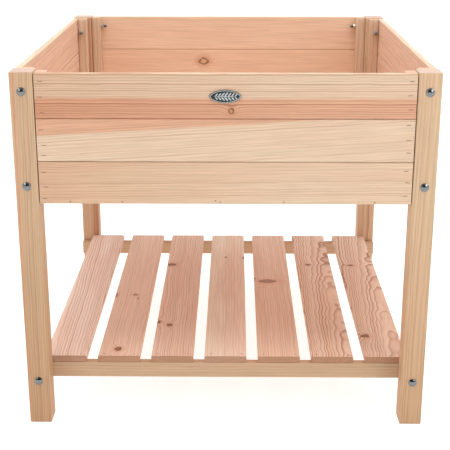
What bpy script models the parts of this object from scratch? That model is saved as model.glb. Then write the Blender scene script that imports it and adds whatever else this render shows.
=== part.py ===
"""Raised wooden planter on four legs, with a slatted shelf.

Metres, +Z up.  The front faces -Y, and the origin is on the ground at the middle of the plan.
Four posts carry four panels.  Each panel is three tongue-and-groove boards on two end battens, and
coach bolts run through the posts into the battens of the next panel.
"""

from math import acos, ceil, cos, pi, radians, sin, sqrt

import bmesh
import bpy
from mathutils import Matrix, Vector

# ---- driving dimensions ------------------------------------------------------------------------

WIDTH = 0.780                  # over the outer faces of the posts, left to right
DEPTH = 0.780                  # the same, front to back
HEIGHT = 0.710                 # ground to post tops

GAP = 0.0003                   # between pieces that touch

LEG = 0.043                    # square post section
LEG_EASE = 0.0018              # rounding of the post's edges

BOARD_THICK = 0.012
BOARD_COVER = 0.0815           # height that each lower board shows
TOP_BOARD_COVER = 0.084        # the top board keeps its full height
BOARD_SETBACK = 0.001          # the boards lie this far inside the posts' outer faces
BOARD_END_GAP = 0.0014         # open joint between a board's end and the post
RIM_DROP = 0.002               # the box's rim lies this far below the posts' tops
TONGUE_THICK = 0.004
TONGUE_HEIGHT = 0.005
GROOVE_SPARE = 0.0005          # the groove is this much deeper than the tongue
JOINT_CHAMFER = 0.0012         # V-joint along the outside and the inside
EDGE_EASE = 0.0010             # the top board's upper edge and the bottom board's lower edge

BATTEN = 0.022                 # square batten section
BATTEN_EASE = 0.0010

BOLT_INTO_BATTEN = 0.0085      # bolt axis from the boards' inner face, within the batten
UPPER_BOLT_DROP = 0.034        # upper bolts of the front and back, below the rim
LOWER_BOLT_RISE = 0.0077       # lower ones, above the floor, so that their washers clear it
CROSS_BOLT_RISE = 0.011        # the left and right bolts pass this far above them
SHELF_BOLT_RISE = 0.014        # above the rail's lower edge
BOLT_RADIUS = 0.003            # M6
BOLT_HEAD_RADIUS = 0.0081
BOLT_HEAD_HEIGHT = 0.0033
BOLT_STEP = 0.010              # bolts are sold in lengths of whole steps
BOLT_SPARE = 0.004             # least thread past the nut
HOLE_CLEARANCE = 0.0003
WASHER_RADIUS = 0.006
WASHER_THICK = 0.0016
NUT_ACROSS_FLATS = 0.010
NUT_THICK = 0.005
NUT_BITE = 0.0002              # how far the washer and the nut run into each other
BOLT_SIDES = 12
HEAD_RINGS = 4                 # rings of faces on the head's dome

RAIL_HEIGHT = 0.033
RAIL_THICK = 0.015
RAIL_BOTTOM = 0.0785
RAIL_EASE = 0.0010

SLAT_COUNT = 7
SLAT_WIDTH = 0.085
SLAT_THICK = 0.014
SLAT_END_INSET = 0.0265        # outer slat's edge from the post's outer face
SLAT_EASE = 0.0028

CLEAT_HEIGHT = 0.014
FLOOR_BOARDS = 4
FLOOR_THICK = 0.012
FLOOR_DRAIN_GAP = 0.005        # between floor boards
FLOOR_CLEAR = 0.0015           # round the edge of the floor

BADGE_LENGTH = 0.058           # pointed oval, tip to tip
BADGE_WIDTH = 0.024
BADGE_THICK = 0.0018
BADGE_ROUND = 0.6              # 0 is two plain arcs that meet in sharp tips, 1 is an ellipse
BADGE_STEPS = 12               # straight pieces in each half of its outline

# ---- colours (red, green, blue, in linear light), roughness, metallic ---------------------------

PALE_PINE = ((0.76, 0.56, 0.38), 0.62, 0.0)
ROSE_PINE = ((0.68, 0.41, 0.29), 0.65, 0.0)
SAWN_PINE = ((0.66, 0.46, 0.30), 0.72, 0.0)
ZINC = ((0.70, 0.71, 0.70), 0.28, 1.0)
BADGE_METAL = ((0.16, 0.17, 0.17), 0.40, 0.9)

# ---- places that several pieces share -----------------------------------------------------------

HALF_WIDTH = WIDTH / 2
HALF_DEPTH = DEPTH / 2
BOX_TOP = HEIGHT - RIM_DROP
BOX_BOTTOM = BOX_TOP - TOP_BOARD_COVER - 2 * BOARD_COVER
WALL = BOARD_SETBACK + BOARD_THICK                      # post's outer face to a board's inner face
CORNER = LEG + GAP + BATTEN + FLOOR_CLEAR               # room that a post and its batten take
FLOOR_BOTTOM = BOX_BOTTOM + CLEAT_HEIGHT + GAP
FLOOR_TOP = FLOOR_BOTTOM + FLOOR_THICK
BOLT_INSET = WALL + BOLT_INTO_BATTEN                    # bolt axis from the post's outer face
SLAT_BOTTOM = RAIL_BOTTOM + RAIL_HEIGHT + GAP
SLAT_PITCH = (WIDTH - 2 * SLAT_END_INSET - SLAT_WIDTH) / (SLAT_COUNT - 1)

# Each side of the planter: turn about Z from the front, and the names of its own left and right
# ends as seen from outside, which are the ends at -X and +X before it is turned.
SIDES = {
    "front": (0.0, "left", "right"),
    "right": (90.0, "front", "back"),
    "back": (180.0, "right", "left"),
    "left": (270.0, "back", "front"),
}


# ---- scene and helpers --------------------------------------------------------------------------

def clear_scene():
    for item in list(bpy.data.objects):
        bpy.data.objects.remove(item, do_unlink=True)


def new_collection(name):
    collection = bpy.data.collections.new(name)
    bpy.context.scene.collection.children.link(collection)
    return collection


def finish(piece, look):
    """Give the piece a material of its own."""
    colour, roughness, metallic = look
    material = bpy.data.materials.new(piece.name)
    material.use_nodes = True
    shader = material.node_tree.nodes["Principled BSDF"]
    shader.inputs["Base Color"].default_value = (*colour, 1.0)
    shader.inputs["Roughness"].default_value = roughness
    shader.inputs["Metallic"].default_value = metallic
    piece.data.materials.append(material)


def place(piece, parent, collection):
    collection.objects.link(piece)
    piece.parent = parent


def timber(name, low, high, ease, look, parent=None, along=None):
    """A sawn stick between two corners.  Its edges are rounded, or with `along` only the long ones."""
    low, high = Vector(low), Vector(high)
    mesh = bpy.data.meshes.new(name)
    shape = bmesh.new()
    bmesh.ops.create_cube(shape, size=1.0)
    bmesh.ops.scale(shape, vec=high - low, verts=shape.verts)
    edges = list(shape.edges)
    if along is not None:
        edges = [edge for edge in edges
                 if abs((edge.verts[0].co - edge.verts[1].co).normalized()[along]) > 0.9]
    bmesh.ops.bevel(shape, geom=edges, offset=ease, segments=2, profile=0.5, affect="EDGES")
    shape.to_mesh(mesh)
    shape.free()
    piece = bpy.data.objects.new(name, mesh)
    piece.location = (low + high) / 2
    place(piece, parent, PARTS)
    finish(piece, look)
    return piece


def outline(name, points, thickness, look, parent=None):
    """A closed flat outline in its own XY plane, thickened both ways along its own Z."""
    curve = bpy.data.curves.new(name, "CURVE")
    curve.dimensions = "2D"
    curve.fill_mode = "BOTH"
    curve.extrude = thickness / 2
    spline = curve.splines.new("POLY")
    spline.points.add(len(points) - 1)
    for point, (across, up) in zip(spline.points, points):
        point.co = (across, up, 0.0, 1.0)
    spline.use_cyclic_u = True
    piece = bpy.data.objects.new(name, curve)
    place(piece, parent, PARTS)
    finish(piece, look)
    return piece


def drill(piece, cutter):
    hole = piece.modifiers.new("drill", "BOOLEAN")
    hole.operation = "DIFFERENCE"
    hole.solver = "EXACT"
    hole.object = cutter


# ---- posts --------------------------------------------------------------------------------------

def make_legs():
    legs = {}
    for end, along_y in (("front", -1), ("back", 1)):
        for side, along_x in (("left", -1), ("right", 1)):
            outer = Vector((along_x * HALF_WIDTH, along_y * HALF_DEPTH, 0.0))
            inner = Vector((along_x * (HALF_WIDTH - LEG), along_y * (HALF_DEPTH - LEG), HEIGHT))
            low = [min(pair) for pair in zip(outer, inner)]
            high = [max(pair) for pair in zip(outer, inner)]
            legs[end, side] = timber(f"leg_{end}_{side}", low, high, LEG_EASE, PALE_PINE)
    return legs


# ---- wall panels --------------------------------------------------------------------------------

def board_section(cover, tongue, groove):
    """Cross-section of a wall board: x runs inwards from the outer face, y runs up."""
    middle = BOARD_THICK / 2
    half_tongue = TONGUE_THICK / 2
    half_groove = half_tongue + GAP
    bottom = GAP / 2 if groove else 0.0
    top = cover - GAP / 2 if tongue else cover
    low_chamfer = JOINT_CHAMFER if groove else EDGE_EASE
    high_chamfer = JOINT_CHAMFER if tongue else EDGE_EASE
    section = [(0.0, top - high_chamfer), (0.0, bottom + low_chamfer), (low_chamfer, bottom)]
    if groove:
        roof = TONGUE_HEIGHT + GROOVE_SPARE
        section += [(middle - half_groove, bottom), (middle - half_groove, roof),
                    (middle + half_groove, roof), (middle + half_groove, bottom)]
    section += [(BOARD_THICK - low_chamfer, bottom), (BOARD_THICK, bottom + low_chamfer),
                (BOARD_THICK, top - high_chamfer), (BOARD_THICK - high_chamfer, top)]
    if tongue:
        crest = cover + TONGUE_HEIGHT
        section += [(middle + half_tongue, top), (middle + half_tongue, crest),
                    (middle - half_tongue, crest), (middle - half_tongue, top)]
    section.append((high_chamfer, top))
    return section


def make_panel(side, frame, reach, span):
    """Boards and battens of one side.  `reach` is the outer face's distance from the middle of the
    planter and `span` is the clear distance between the posts."""
    rows = (("bottom", BOX_BOTTOM, BOARD_COVER, True, False),
            ("middle", BOX_BOTTOM + BOARD_COVER, BOARD_COVER, True, True),
            ("top", BOX_BOTTOM + 2 * BOARD_COVER, TOP_BOARD_COVER, False, True))
    for row, base, cover, tongue, groove in rows:
        section = board_section(cover, tongue, groove)
        board = outline(f"{side}_board_{row}", section, span - 2 * BOARD_END_GAP, PALE_PINE, frame)
        # the section's x points inwards, its y up, and the extrusion runs along the panel
        board.matrix_local = Matrix(((0, 0, 1, 0),
                                     (1, 0, 0, -reach + BOARD_SETBACK),
                                     (0, 1, 0, base),
                                     (0, 0, 0, 1)))
    battens = {}
    face = -reach + WALL + GAP
    for end, way in ((SIDES[side][1], -1), (SIDES[side][2], 1)):
        ends = sorted((way * (span / 2 - GAP), way * (span / 2 - GAP - BATTEN)))
        battens[side, end] = timber(f"{side}_batten_{end}", (ends[0], face, BOX_BOTTOM),
                                    (ends[1], face + BATTEN, BOX_TOP), BATTEN_EASE, SAWN_PINE, frame)
    return battens


# ---- bolts --------------------------------------------------------------------------------------

def bolt_mesh(name, grip):
    """Coach bolt with its washer and nut run up, as one body.  The head's seat is at z = 0, the
    shank runs down, and the washer lies at z = -grip."""
    needed = grip + WASHER_THICK + NUT_THICK + BOLT_SPARE
    length = ceil(needed / BOLT_STEP) * BOLT_STEP
    cap_radius = (BOLT_HEAD_RADIUS ** 2 + BOLT_HEAD_HEIGHT ** 2) / (2 * BOLT_HEAD_HEIGHT)
    cap_angle = acos(1 - BOLT_HEAD_HEIGHT / cap_radius)
    profile = []
    for ring in range(HEAD_RINGS + 1):
        turn = cap_angle * ring / HEAD_RINGS
        profile.append((cap_radius * sin(turn), BOLT_HEAD_HEIGHT - cap_radius * (1 - cos(turn))))
    tip_chamfer = BOLT_RADIUS / 4
    profile += [(BOLT_RADIUS, 0.0), (BOLT_RADIUS, -length + tip_chamfer),
                (BOLT_RADIUS - tip_chamfer, -length), (0.0, -length)]

    mesh = bpy.data.meshes.new(name)
    mesh.from_pydata([(across, 0.0, up) for across, up in profile],
                     [(i, i + 1) for i in range(len(profile) - 1)], [])
    turned = bpy.data.objects.new(name, mesh)
    CUTTERS.objects.link(turned)
    screw = turned.modifiers.new("turn", "SCREW")
    screw.steps = BOLT_SIDES
    screw.render_steps = BOLT_SIDES
    screw.use_merge_vertices = True
    screw.merge_threshold = 0.00001

    nut_radius = NUT_ACROSS_FLATS / 2 / cos(pi / 6)
    fittings = (("washer", BOLT_SIDES, WASHER_RADIUS, -grip, WASHER_THICK),
                ("nut", 6, nut_radius, -grip - WASHER_THICK + NUT_BITE,
                 NUT_THICK + NUT_BITE))
    joined = []
    for fitting, sides, radius, top, thick in fittings:
        disc = bpy.data.meshes.new(fitting)
        shape = bmesh.new()
        bmesh.ops.create_cone(shape, cap_ends=True, segments=sides, radius1=radius,
                              radius2=radius, depth=thick)
        bmesh.ops.translate(shape, vec=(0.0, 0.0, top - thick / 2), verts=shape.verts)
        shape.to_mesh(disc)
        shape.free()
        extra = bpy.data.objects.new(fitting, disc)
        CUTTERS.objects.link(extra)
        union = turned.modifiers.new(fitting, "BOOLEAN")
        union.operation = "UNION"
        union.solver = "EXACT"
        union.object = extra
        joined.append(extra)

    bpy.context.view_layer.update()
    result = bpy.data.meshes.new_from_object(
        turned.evaluated_get(bpy.context.evaluated_depsgraph_get()))
    result.name = name
    for spare in (turned, *joined):
        bpy.data.objects.remove(spare, do_unlink=True)
    result.shade_smooth()
    result.set_sharp_from_angle(angle=radians(35))
    return result


def make_bolt(name, mesh, frame, across, face, height, through, grip):
    """A bolt whose head lies on the plane y = face of its own side, and the hole for it."""
    bolt = bpy.data.objects.new(name, mesh.copy())
    bolt.rotation_euler = (radians(90), 0.0, 0.0)     # the head's dome points out, to -Y
    bolt.location = (across, face - GAP, height)
    place(bolt, frame, PARTS)
    finish(bolt, ZINC)

    hole = bpy.data.meshes.new(f"hole_{name}")
    shape = bmesh.new()
    bmesh.ops.create_cone(shape, cap_ends=True, segments=BOLT_SIDES,
                          radius1=BOLT_RADIUS + HOLE_CLEARANCE,
                          radius2=BOLT_RADIUS + HOLE_CLEARANCE, depth=2 * grip)
    shape.to_mesh(hole)
    shape.free()
    cutter = bpy.data.objects.new(f"hole_{name}", hole)
    cutter.rotation_euler = bolt.rotation_euler
    cutter.location = (across, face + grip / 2, height)
    cutter.hide_render = True
    cutter.display_type = "WIRE"
    place(cutter, frame, CUTTERS)
    for piece in through:
        drill(piece, cutter)


def make_bolts(frames, reaches, spreads, legs, battens, rails):
    panel_grip = LEG + BATTEN + 3 * GAP
    shelf_grip = LEG + RAIL_THICK + 3 * GAP
    panel_bolt = bolt_mesh("panel_bolt", panel_grip)
    shelf_bolt = bolt_mesh("shelf_bolt", shelf_grip)
    for side, (_, minus_end, plus_end) in SIDES.items():
        cross = side in ("left", "right")
        rise = CROSS_BOLT_RISE if cross else 0.0
        levels = (("upper", BOX_TOP - UPPER_BOLT_DROP + rise),
                  ("lower", FLOOR_TOP + LOWER_BOLT_RISE + rise))
        for end, way in ((minus_end, -1), (plus_end, 1)):
            leg = legs[(end, side)] if cross else legs[(side, end)]
            across = way * (spreads[side] - BOLT_INSET)
            for level, height in levels:
                make_bolt(f"panel_bolt_{side}_{end}_{level}", panel_bolt, frames[side], across,
                          -reaches[side], height, (leg, battens[end, side]), panel_grip)
            if not cross:
                make_bolt(f"shelf_bolt_{side}_{end}", shelf_bolt, frames[side], across,
                          -reaches[side], RAIL_BOTTOM + SHELF_BOLT_RISE, (leg, rails[side]),
                          shelf_grip)


# ---- floor of the box ---------------------------------------------------------------------------

def make_floor():
    reach_x = HALF_WIDTH - CORNER                 # clear of the posts and their battens
    reach_y = HALF_DEPTH - CORNER
    for end, way in (("front", -1), ("back", 1)):
        near = way * (HALF_DEPTH - WALL - GAP)
        far = way * (HALF_DEPTH - WALL - GAP - BATTEN)
        timber(f"floor_cleat_{end}", (-reach_x, min(near, far), BOX_BOTTOM),
               (reach_x, max(near, far), BOX_BOTTOM + CLEAT_HEIGHT), BATTEN_EASE, SAWN_PINE)

    half_x = HALF_WIDTH - WALL - FLOOR_CLEAR
    half_y = HALF_DEPTH - WALL - FLOOR_CLEAR
    board = (2 * half_x - (FLOOR_BOARDS - 1) * FLOOR_DRAIN_GAP) / FLOOR_BOARDS
    for number in range(FLOOR_BOARDS):
        low = -half_x + number * (board + FLOOR_DRAIN_GAP)
        high = low + board
        # the board's outline, stepped in wherever it would meet a corner post
        left, right = max(low, -reach_x), min(high, reach_x)
        edge = [(left, -half_y), (right, -half_y)]
        if right < high:
            edge += [(right, -reach_y), (high, -reach_y), (high, reach_y), (right, reach_y)]
        edge += [(right, half_y), (left, half_y)]
        if left > low:
            edge += [(left, reach_y), (low, reach_y), (low, -reach_y), (left, -reach_y)]
        piece = outline(f"floor_board_{number + 1}", edge, FLOOR_THICK, SAWN_PINE)
        piece.location.z = (FLOOR_BOTTOM + FLOOR_TOP) / 2


# ---- shelf --------------------------------------------------------------------------------------

def make_shelf():
    rails = {}
    for end, way in (("front", -1), ("back", 1)):
        outer = way * (HALF_DEPTH - LEG - GAP)
        inner = way * (HALF_DEPTH - LEG - GAP - RAIL_THICK)
        rails[end] = timber(f"shelf_rail_{end}", (-HALF_WIDTH, min(outer, inner), RAIL_BOTTOM),
                            (HALF_WIDTH, max(outer, inner), RAIL_BOTTOM + RAIL_HEIGHT),
                            RAIL_EASE, PALE_PINE)
    length = DEPTH - 2 * (LEG + GAP)
    for number in range(SLAT_COUNT):
        middle = (number - (SLAT_COUNT - 1) / 2) * SLAT_PITCH
        timber(f"shelf_slat_{number + 1}", (middle - SLAT_WIDTH / 2, -length / 2, SLAT_BOTTOM),
               (middle + SLAT_WIDTH / 2, length / 2, SLAT_BOTTOM + SLAT_THICK),
               SLAT_EASE, ROSE_PINE, along=1)
    return rails


# ---- badge --------------------------------------------------------------------------------------

def make_badge(frame):
    """Oval with slight points: part ellipse, part two equal arcs that meet at the tips."""
    half_length, half_width = BADGE_LENGTH / 2, BADGE_WIDTH / 2
    radius = (half_length ** 2 + half_width ** 2) / (2 * half_width)
    points = []
    for way in (1, -1):                        # the lower half to the right, the upper one back
        for step in range(BADGE_STEPS):
            angle = pi * step / BADGE_STEPS
            across = -way * half_length * cos(angle)
            arc = sqrt(radius ** 2 - across ** 2) - (radius - half_width)
            rise = BADGE_ROUND * half_width * sin(angle) + (1 - BADGE_ROUND) * max(arc, 0.0)
            points.append((across, -way * rise))
    plate = outline("badge_plate", points, BADGE_THICK, BADGE_METAL, frame)
    plate.rotation_euler = (radians(90), 0.0, 0.0)
    plate.location = (0.0, -HALF_DEPTH + BOARD_SETBACK - GAP - BADGE_THICK / 2,
                      BOX_TOP - TOP_BOARD_COVER / 2)


# ---- the planter --------------------------------------------------------------------------------

clear_scene()
PARTS = new_collection("raised_planter")
CUTTERS = new_collection("cutters")

side_frames, side_reach, side_spread, all_battens = {}, {}, {}, {}
for side_name, (turn, _, _) in SIDES.items():
    turned_side = side_name in ("left", "right")
    side_reach[side_name] = HALF_WIDTH if turned_side else HALF_DEPTH
    side_spread[side_name] = HALF_DEPTH if turned_side else HALF_WIDTH
    empty = bpy.data.objects.new(f"{side_name}_side", None)
    empty.rotation_euler.z = radians(turn)
    PARTS.objects.link(empty)
    side_frames[side_name] = empty
    all_battens.update(make_panel(side_name, empty, side_reach[side_name],
                                  2 * (side_spread[side_name] - LEG)))

all_legs = make_legs()
shelf_rails = make_shelf()
make_floor()
make_badge(side_frames["front"])
make_bolts(side_frames, side_reach, side_spread, all_legs, all_battens, shelf_rails)
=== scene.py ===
from math import acos, cos, pi, radians, sin, sqrt

import bmesh
import bpy
from mathutils import Matrix, Vector


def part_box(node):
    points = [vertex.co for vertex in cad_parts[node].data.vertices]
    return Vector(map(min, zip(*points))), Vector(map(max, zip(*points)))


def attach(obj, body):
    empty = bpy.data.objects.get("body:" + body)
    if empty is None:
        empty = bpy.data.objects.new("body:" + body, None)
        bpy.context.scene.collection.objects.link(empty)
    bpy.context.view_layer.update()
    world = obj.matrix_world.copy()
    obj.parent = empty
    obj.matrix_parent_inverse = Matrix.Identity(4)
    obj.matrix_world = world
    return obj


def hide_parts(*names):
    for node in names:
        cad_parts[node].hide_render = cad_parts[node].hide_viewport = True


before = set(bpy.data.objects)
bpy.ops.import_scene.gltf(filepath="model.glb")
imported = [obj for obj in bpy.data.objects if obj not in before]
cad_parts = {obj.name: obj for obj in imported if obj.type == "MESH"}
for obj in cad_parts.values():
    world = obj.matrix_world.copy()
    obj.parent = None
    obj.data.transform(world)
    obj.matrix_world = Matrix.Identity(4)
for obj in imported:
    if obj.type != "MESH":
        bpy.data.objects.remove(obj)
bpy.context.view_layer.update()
bpy.ops.object.select_all(action="DESELECT")


# ---- Corner posts -------------------------------------------------------------------------------
# Four 43 mm square posts of untreated pine, planed all round, their edges eased with a plane.
# They stand on the ground and rise just past the rim, and every bolt passes through one of them.

def linear(code):
    """An sRGB hex colour as linear red, green, blue and alpha."""
    channels = [int(code[start:start + 2], 16) / 255 for start in (1, 3, 5)]
    return (*(c / 12.92 if c <= 0.04045 else ((c + 0.055) / 1.055) ** 2.4 for c in channels), 1.0)


def add(material, kind, links=None, **settings):
    """Add a shader node.  `links` gives a value, or the output that feeds it, for each socket."""
    tree = material.node_tree
    node = tree.nodes.new("ShaderNode" + kind)
    for name, value in settings.items():
        setattr(node, name, value)
    for socket, value in (links or {}).items():
        if isinstance(value, bpy.types.NodeSocket):
            tree.links.new(value, node.inputs[socket])
        else:
            node.inputs[socket].default_value = value
    return node


# shares of a year, from one line of late wood to the next, and how dark the wood is there
LATE_RAMP = ((0.0, 0.45), (0.07, 0.0), (0.5, 0.12), (0.82, 0.6), (0.95, 1.0), (1.0, 0.8))
# how the log is turned, and its axis, when the grain runs along X, Y or Z
GRAIN_TURN = {"X": (0.0, 0.0), "Y": (0.0, 90.0), "Z": (-90.0, 0.0)}
GRAIN_AXIS = {"X": (1, 0, 0), "Y": (0, 1, 0), "Z": (0, 0, 1)}


def pine(name, along, pith, heart, lean=(0.0, 0.0), ring=0.0042, late=0.5, pale="#DDC3A8",
         rose="#D4A385", painted_shade=0.0, end="#CFA488", core="#BE8A63", mottle=0.3, warp=0.004,
         ripple=0.0006, knots=(), seed=0.0):
    """Planed untreated pine, as a block cut from a log.

    Pine is pale and soft between thin brown lines of late wood, and planing leaves it matt with a
    faint sheen on those lines.  `along` is the way the grain runs, `pith` a point on the log's
    centre line, and `lean` turns that line a few degrees.  Year rings lie `ring` apart round it,
    wider than the real 2 mm so that they show, and the fibres are coarser than real ones too.
    Wood within `heart` of the pith is rose heartwood and the rest is pale sapwood, and the length on
    the negative side of the pith is darkened by a painted shade, which stands in for light that falls
    off there.  A knot, whose middle is `core`, is (centre, half sizes, darkness), with a half size of 0
    through the board's thickness."""
    material = bpy.data.materials.new(name)
    material.use_nodes = True
    shader = material.node_tree.nodes["Principled BSDF"]
    tip, swing = GRAIN_TURN[along]
    turn = (0.0, radians(tip + lean[0]), radians(swing + lean[1]))

    surface = add(material, "TexCoord").outputs
    log = add(material, "Mapping", {"Vector": surface["Object"], "Location": pith, "Rotation": turn},
              vector_type="TEXTURE").outputs[0]

    # slow bends of the whole trunk, long with the grain and short across it
    slow = add(material, "VectorMath", {0: log, 1: (2.4, 13.0, 13.0)}, operation="MULTIPLY").outputs[0]
    bend = add(material, "TexNoise", {"Vector": slow, "W": seed, "Scale": 1.0, "Detail": 3.0,
                                      "Roughness": 0.4}, noise_dimensions="4D").outputs[1]
    shift = add(material, "VectorMath", {0: bend, 1: (0.5, 0.5, 0.5)}, operation="SUBTRACT").outputs[0]
    shift = add(material, "VectorMath", {0: shift, 1: (0.0, 4 * warp, 4 * warp), 2: log},
                operation="MULTIPLY_ADD").outputs[0]
    across = add(material, "VectorMath", {0: shift, 1: (0.0, 1.0, 1.0)}, operation="MULTIPLY").outputs[0]
    radius = add(material, "VectorMath", {0: across}, operation="LENGTH").outputs["Value"]

    # and small ripples, which turn the lines of a flat-sawn face wavy
    quick = add(material, "VectorMath", {0: log, 1: (22.0, 9.0, 9.0)}, operation="MULTIPLY").outputs[0]
    quick = add(material, "TexNoise", {"Vector": quick, "Scale": 1.0, "Detail": 1.0},
                noise_dimensions="3D").outputs[0]
    radius = add(material, "Math", {0: quick, 1: 4 * ripple, 2: radius},
                 operation="MULTIPLY_ADD").outputs[0]

    # each knot pushes the rings aside, further along the grain than across it
    spots = []
    stretch = [0.42 if axis == along else 0.62 for axis in "XYZ"]
    for centre, sizes, darkness in knots:
        away = add(material, "VectorMath", {0: surface["Object"], 1: centre},
                   operation="SUBTRACT").outputs[0]
        inverse = [1 / size if size else 0.0 for size in sizes]
        inner = add(material, "VectorMath", {0: away, 1: inverse}, operation="MULTIPLY").outputs[0]
        ragged = add(material, "TexNoise", {"Vector": inner, "W": seed, "Scale": 1.6, "Detail": 3.0},
                     noise_dimensions="4D").outputs[1]
        inner = add(material, "VectorMath", {0: ragged, 1: (1.3, 1.3, 1.3), 2: inner},
                    operation="MULTIPLY_ADD").outputs[0]
        inner = add(material, "VectorMath", {0: inner, 1: (-0.65, -0.65, -0.65)},
                    operation="ADD").outputs[0]
        inner = add(material, "VectorMath", {0: inner, 1: [1.0 if i else 0.0 for i in inverse]},
                    operation="MULTIPLY").outputs[0]
        reach = add(material, "VectorMath", {0: inner}, operation="LENGTH").outputs["Value"]
        outer = add(material, "VectorMath", {0: away, 1: [i * s for i, s in zip(inverse, stretch)]},
                    operation="MULTIPLY").outputs[0]
        far = add(material, "VectorMath", {0: outer}, operation="LENGTH").outputs["Value"]
        push = add(material, "MapRange", {"Value": far, 1: 0.0, 2: 2.2, 3: 1.4 * max(sizes) * darkness,
                                          4: 0.0}, interpolation_type="SMOOTHERSTEP").outputs[0]
        radius = add(material, "Math", {0: radius, 1: push}, operation="ADD").outputs[0]
        spots.append((reach, darkness))

    # year rings: pale early wood that darkens to a thin line of late wood
    uneven = add(material, "TexNoise", {"W": radius, "Scale": 55.0, "Detail": 1.0},
                 noise_dimensions="1D").outputs[0]
    count = add(material, "Math", {0: radius, 1: 1 / ring}, operation="MULTIPLY").outputs[0]
    count = add(material, "Math", {0: uneven, 1: 3.0, 2: count}, operation="MULTIPLY_ADD").outputs[0]
    part = add(material, "Math", {0: count}, operation="FRACT").outputs[0]
    line = add(material, "ValToRGB", {0: part})
    stops = line.color_ramp.elements
    for position, value in LATE_RAMP[1:-1]:
        stops.new(position)
    for stop, (position, value) in zip(stops, LATE_RAMP):
        stop.position = position
        stop.color = (value, value, value, 1.0)
    year = add(material, "TexNoise", {"W": count, "Scale": 0.37, "Detail": 2.0},
               noise_dimensions="1D").outputs[0]
    year = add(material, "MapRange", {"Value": year, 1: 0.3, 2: 0.7, 3: 0.25 * late,
                                      4: 1.5 * late}).outputs[0]
    dark = add(material, "Math", {0: line.outputs[0], 1: year}, operation="MULTIPLY").outputs[0]

    # sapwood outside the heartwood, then the late wood, then patches, painted shade and fibres
    sap = add(material, "MapRange", {"Value": radius, 1: heart - 0.0035, 2: heart + 0.0035},
              interpolation_type="SMOOTHSTEP").outputs[0]
    tone = add(material, "Mix", {0: sap, 6: linear(rose), 7: linear(pale)}, data_type="RGBA").outputs[2]
    patch = add(material, "VectorMath", {0: log, 1: (4.0, 30.0, 30.0)}, operation="MULTIPLY").outputs[0]
    patch = add(material, "TexNoise", {"Vector": patch, "W": seed + 5.0, "Scale": 1.0, "Detail": 3.0},
                noise_dimensions="4D").outputs[0]
    patch = add(material, "MapRange", {"Value": patch, 1: 0.4, 2: 0.7, 3: 0.0, 4: mottle}).outputs[0]
    tone = add(material, "Mix", {0: patch, 6: tone, 7: linear("#DDB093")}, data_type="RGBA").outputs[2]
    tone = add(material, "Mix", {0: dark, 6: tone, 7: linear("#BE937A")}, data_type="RGBA",
               blend_type="MULTIPLY").outputs[2]
    # painted shade: the colour is multiplied darker towards the negative end of the log's length,
    # standing in for light that falls off there
    place = add(material, "VectorMath", {0: log, 1: (1.0, 0.0, 0.0)},
                operation="DOT_PRODUCT").outputs["Value"]
    place = add(material, "MapRange", {"Value": place, 1: -0.35, 2: 0.15, 3: painted_shade, 4: 0.0}).outputs[0]
    tone = add(material, "Mix", {0: place, 6: tone, 7: linear("#E0B795")}, data_type="RGBA",
               blend_type="MULTIPLY").outputs[2]
    fine = add(material, "VectorMath", {0: log, 1: (14.0, 520.0, 520.0)}, operation="MULTIPLY").outputs[0]
    fibre = add(material, "TexNoise", {"Vector": fine, "Scale": 1.0, "Detail": 3.0},
                noise_dimensions="3D").outputs[0]
    streak = add(material, "MapRange", {"Value": fibre, 1: 0.3, 2: 0.7, 3: 0.91, 4: 1.08}).outputs[0]
    tone = add(material, "VectorMath", {0: tone, "Scale": streak}, operation="SCALE").outputs[0]

    # knots: a brown eye with a darker, resinous edge and a warm halo
    for reach, darkness in spots:
        halo = add(material, "MapRange", {"Value": reach, 1: 2.6, 2: 0.9, 3: 0.0, 4: 0.55 * darkness},
                   interpolation_type="SMOOTHSTEP").outputs[0]
        tone = add(material, "Mix", {0: halo, 6: tone, 7: linear("#C9825C")}, data_type="RGBA").outputs[2]
        eye = add(material, "MapRange", {"Value": reach, 1: 1.12, 2: 0.9, 3: 0.0, 4: darkness},
                  interpolation_type="SMOOTHSTEP").outputs[0]
        edge = add(material, "MapRange", {"Value": reach, 1: 0.45, 2: 0.9, 3: 0.0, 4: 1.0}).outputs[0]
        heartwood = add(material, "Mix", {0: edge, 6: linear(core), 7: linear("#4F2C1A")},
                        data_type="RGBA").outputs[2]
        tone = add(material, "Mix", {0: eye, 6: tone, 7: heartwood}, data_type="RGBA").outputs[2]

    # the sawn ends, which may be browner than the faces
    cut = add(material, "VectorMath", {0: surface["Normal"], 1: GRAIN_AXIS[along]},
              operation="DOT_PRODUCT").outputs["Value"]
    cut = add(material, "Math", {0: cut}, operation="ABSOLUTE").outputs[0]
    cut = add(material, "MapRange", {"Value": cut, 1: 0.75, 2: 0.95, 3: 0.0, 4: 0.8}).outputs[0]
    tone = add(material, "Mix", {0: cut, 6: tone, 7: linear(end)}, data_type="RGBA").outputs[2]
    material.node_tree.links.new(tone, shader.inputs["Base Color"])

    gloss = add(material, "MapRange", {"Value": dark, 1: 0.0, 2: 1.0, 3: 0.62, 4: 0.5}).outputs[0]
    material.node_tree.links.new(gloss, shader.inputs["Roughness"])
    shader.inputs["IOR"].default_value = 1.45
    shader.inputs["Specular IOR Level"].default_value = 0.35
    relief = add(material, "Math", {0: fibre, 1: 0.6, 2: dark}, operation="MULTIPLY_ADD").outputs[0]
    bump = add(material, "Bump", {"Height": relief, "Strength": 0.3, "Distance": 0.0004}).outputs[0]
    material.node_tree.links.new(bump, shader.inputs["Normal"])
    return material


def choose(piece, kind, wanted):
    """In edit mode, select only the edges or faces that `wanted` accepts."""
    bpy.ops.mesh.select_mode(type=kind)
    bpy.ops.mesh.select_all(action="DESELECT")
    shape = bmesh.from_edit_mesh(piece.data)
    for item in shape.edges if kind == "EDGE" else shape.faces:
        item.select_set(wanted(item))
    shape.select_flush_mode()
    bmesh.update_edit_mesh(piece.data)


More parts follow.
